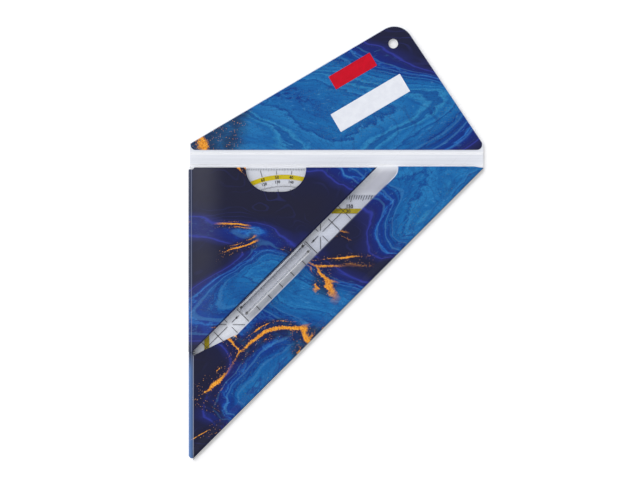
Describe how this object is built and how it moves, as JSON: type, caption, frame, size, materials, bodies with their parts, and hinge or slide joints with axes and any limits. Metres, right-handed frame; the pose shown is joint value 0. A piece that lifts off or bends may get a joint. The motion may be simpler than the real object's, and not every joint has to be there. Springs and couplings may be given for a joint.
{
  "type": "set square",
  "caption": "Sheet case with a fold-over flap and diagonal channel, holding a clear large set square with a clip-on handle and a clear small set square.",
  "frame": {"origin": "on the ground plane, below the middle of the open case's outline", "axes": "+X along the pocket's mouth, away from the folded side; +Y from the pocket to the open flap; +Z out of the front"},
  "size_m": [0.1832, 0.2702, 0.0112],
  "materials": {
    "white_sheet": "smooth white sheet",
    "flap_print": "printed, semi-gloss",
    "front_print": "printed, semi-gloss",
    "fold_print": "printed, semi-gloss",
    "clear_sheet": "clear film",
    "clear_square": "clear, polished",
    "clear_handle": "clear, satin"
  },
  "bodies": {
    "pocket": {"case_back": "white_sheet", "fold_upper": "fold_print", "fold_lower": "fold_print", "main_front": "front_print", "hypotenuse_seam": "front_print", "small_divider": "clear_sheet", "small_seam": "clear_sheet", "small_front": "front_print"},
    "spine": {"spine_strip": "white_sheet"},
    "flap": {"flap_sheet": "white_sheet", "flap_facing": "flap_print"},
    "large_set_square": {"large_square": "clear_square"},
    "grip": {"handle": "clear_handle"},
    "small_set_square": {"small_square": "clear_square"}
  },
  "joints": [
    {"name": "spine_crease", "type": "hinge", "parent": "pocket", "child": "spine", "pos_m": [0.00035, 0.04849, 0.0002], "axis": [1, 0, 0], "range_deg": [0, 90]},
    {"name": "flap_crease", "type": "hinge", "parent": "spine", "child": "flap", "pos_m": [0.00035, 0.05589, 0.0002], "axis": [1, 0, 0], "range_deg": [0, 90]},
    {"name": "large_slide", "type": "slide", "parent": "pocket", "child": "large_set_square", "axis": [0.7071, 0.7071, 0], "range_m": [0, 0.264]},
    {"name": "small_slide", "type": "slide", "parent": "pocket", "child": "small_set_square", "axis": [0, 1, 0], "range_m": [0, 0.125]},
    {"name": "handle_snap", "type": "slide", "parent": "large_set_square", "child": "grip", "axis": [0, 0, 1], "range_m": [0, 0.012]}
  ]
}
